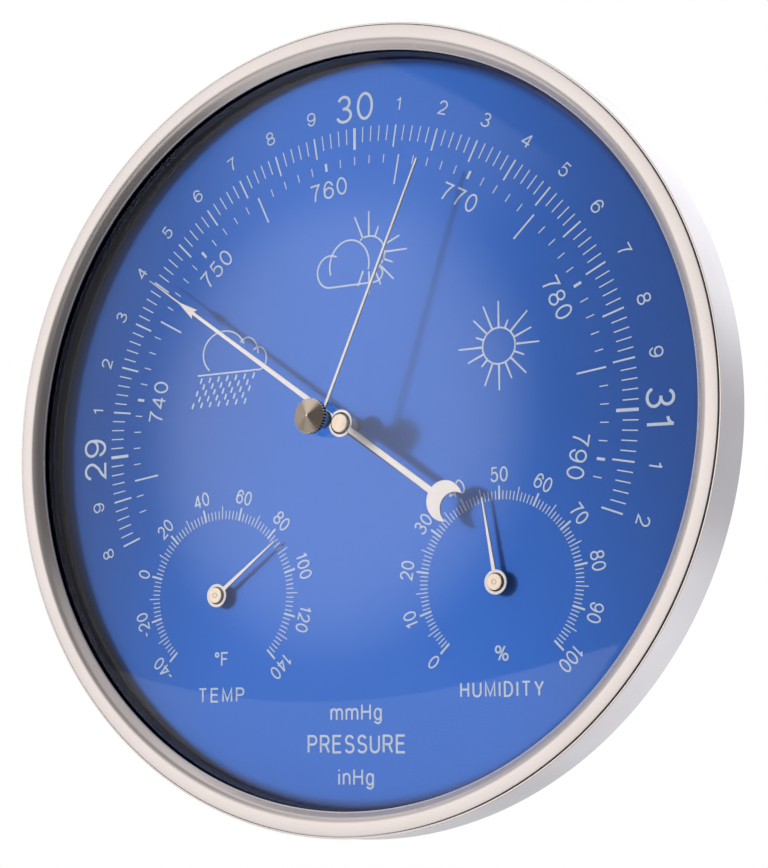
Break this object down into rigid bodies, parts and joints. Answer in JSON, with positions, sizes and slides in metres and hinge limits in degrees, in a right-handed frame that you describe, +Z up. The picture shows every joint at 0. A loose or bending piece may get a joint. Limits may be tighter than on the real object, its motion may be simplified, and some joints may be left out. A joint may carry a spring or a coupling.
{
  "type": "analog weather station",
  "caption": "Round wall-hung weather station with barometer, thermometer and hygrometer hands on one dial under a domed lens, a set pointer with a knob, and a geared aneroid movement.",
  "frame": {"origin": "centre of the rear cover's flat back face, on the wall", "axes": "+Z up, dial facing -Y, +X to the right of a viewer in front of the dial, +Y into the wall"},
  "size_m": [0.13, 0.0364, 0.13],
  "materials": {
    "case_metal": "satin",
    "bezel_metal": "satin",
    "lens_clear": "polished",
    "seal_rubber": "matte",
    "bush_plastic": "smooth",
    "spacer_black": "gloss",
    "dial_blue": "satin",
    "knob_nickel": "turned",
    "hub_nickel": "satin",
    "hand_silver": "satin",
    "movement_brass": "machined",
    "movement_steel": "machined",
    "spring_steel": "blued",
    "capsule_bronze": "satin",
    "screw_steel": "zinc",
    "housing_plastic": "moulded",
    "coil_bimetal": "rolled"
  },
  "bodies": {
    "case": {"case_ring": "case_metal", "bezel_ring": "bezel_metal", "lens": "lens_clear", "lens_gasket": "seal_rubber", "lens_bush": "bush_plastic", "spacer_ring": "spacer_black", "dial_plate": "dial_blue", "hairspring": "spring_steel", "hairspring_stud": "movement_brass", "rocker_cock_left": "movement_brass", "rocker_cock_right": "movement_brass", "aneroid_capsule": "capsule_bronze", "bridge_plate": "movement_brass", "bridge_pillar_left": "movement_brass", "bridge_pillar_right": "movement_brass", "lower_plate": "movement_brass", "movement_pillar_1": "movement_brass", "movement_pillar_2": "movement_brass", "movement_pillar_3": "movement_brass", "base_plate": "movement_steel", "base_screw_1": "screw_steel", "base_screw_2": "screw_steel", "base_screw_3": "screw_steel", "back_housing": "housing_plastic", "housing_screw_1": "screw_steel", "housing_screw_2": "screw_steel", "housing_screw_3": "screw_steel", "housing_screw_4": "screw_steel", "housing_screw_5": "screw_steel", "housing_screw_6": "screw_steel", "back_cover": "housing_plastic", "cover_screw_1": "screw_steel", "cover_screw_2": "screw_steel", "cover_screw_3": "screw_steel", "thermo_bracket": "movement_steel", "thermo_coil": "coil_bimetal", "hygro_bracket": "movement_steel", "hygro_coil": "coil_bimetal"},
    "set_pointer": {"set_knob": "knob_nickel", "set_spindle": "movement_brass", "set_hand": "hand_silver", "set_nut": "movement_brass"},
    "baro_pointer": {"baro_hand": "hand_silver", "baro_hub": "hub_nickel", "baro_arbor": "movement_brass", "baro_pinion": "movement_brass"},
    "sector": {"sector_gear": "movement_brass", "sector_arbor": "movement_brass"},
    "link": {"connecting_link": "movement_steel"},
    "rocker": {"rocker_shaft": "movement_steel"},
    "capsule_top": {"capsule_stud": "movement_steel"},
    "thermo_pointer": {"thermo_hand": "hand_silver", "thermo_hub": "hub_nickel", "thermo_arbor": "movement_brass"},
    "hygro_pointer": {"hygro_hand": "hand_silver", "hygro_hub": "hub_nickel", "hygro_arbor": "movement_brass"},
    "adjuster": {"calibration_screw": "movement_brass"}
  },
  "joints": [
    {"name": "set_turn", "type": "hinge", "parent": "case", "child": "set_pointer", "pos_m": [0, -0.033, 0], "axis": [0, 1, 0], "continuous": true},
    {"name": "baro_turn", "type": "hinge", "parent": "case", "child": "baro_pointer", "pos_m": [0, -0.022, 0], "axis": [0, 1, 0], "range_deg": [-55, 164], "stiffness_Nm_per_rad": 0.0004, "deforming": ["hairspring"]},
    {"name": "sector_turn", "type": "hinge", "parent": "case", "child": "sector", "pos_m": [0, -0.0168, 0.0189], "axis": [0, 1, 0], "range_deg": [-20.6, 7]},
    {"name": "link_swing", "type": "hinge", "parent": "sector", "child": "link", "pos_m": [0.00328, -0.0158, 0.01851], "axis": [0, 1, 0], "range_deg": [-7, 20.6]},
    {"name": "rocker_tilt", "type": "hinge", "parent": "case", "child": "rocker", "pos_m": [0, -0.0118, -0.0025], "axis": [-1, 0, 0], "range_deg": [-6.2, 18.3]},
    {"name": "capsule_lift", "type": "slide", "parent": "case", "child": "capsule_top", "axis": [0, 1, 0], "range_m": [-0.00027, 0.0008], "deforming": ["aneroid_capsule"]},
    {"name": "thermo_turn", "type": "hinge", "parent": "case", "child": "thermo_pointer", "pos_m": [-0.02585, -0.022, -0.02605], "axis": [0, 1, 0], "range_deg": [-188.6, 81.4], "stiffness_Nm_per_rad": 0.0002, "deforming": ["thermo_coil"]},
    {"name": "hygro_turn", "type": "hinge", "parent": "case", "child": "hygro_pointer", "pos_m": [0.02585, -0.022, -0.02605], "axis": [0, 1, 0], "range_deg": [-125.3, 144.7], "stiffness_Nm_per_rad": 0.0002, "deforming": ["hygro_coil"]},
    {"name": "calibration_turn", "type": "hinge", "parent": "case", "child": "adjuster", "pos_m": [0.00901, -0.002, -0.015], "axis": [0, 1, 0], "continuous": true}
  ],
  "couplings": [
    {"joint": "sector_turn", "follows": "baro_turn", "ratio": -0.125},
    {"joint": "link_swing", "follows": "baro_turn", "ratio": 0.125},
    {"joint": "rocker_tilt", "follows": "baro_turn", "ratio": 0.111},
    {"joint": "capsule_lift", "follows": "baro_turn", "m_per_rad": 0.0002775}
  ]
}
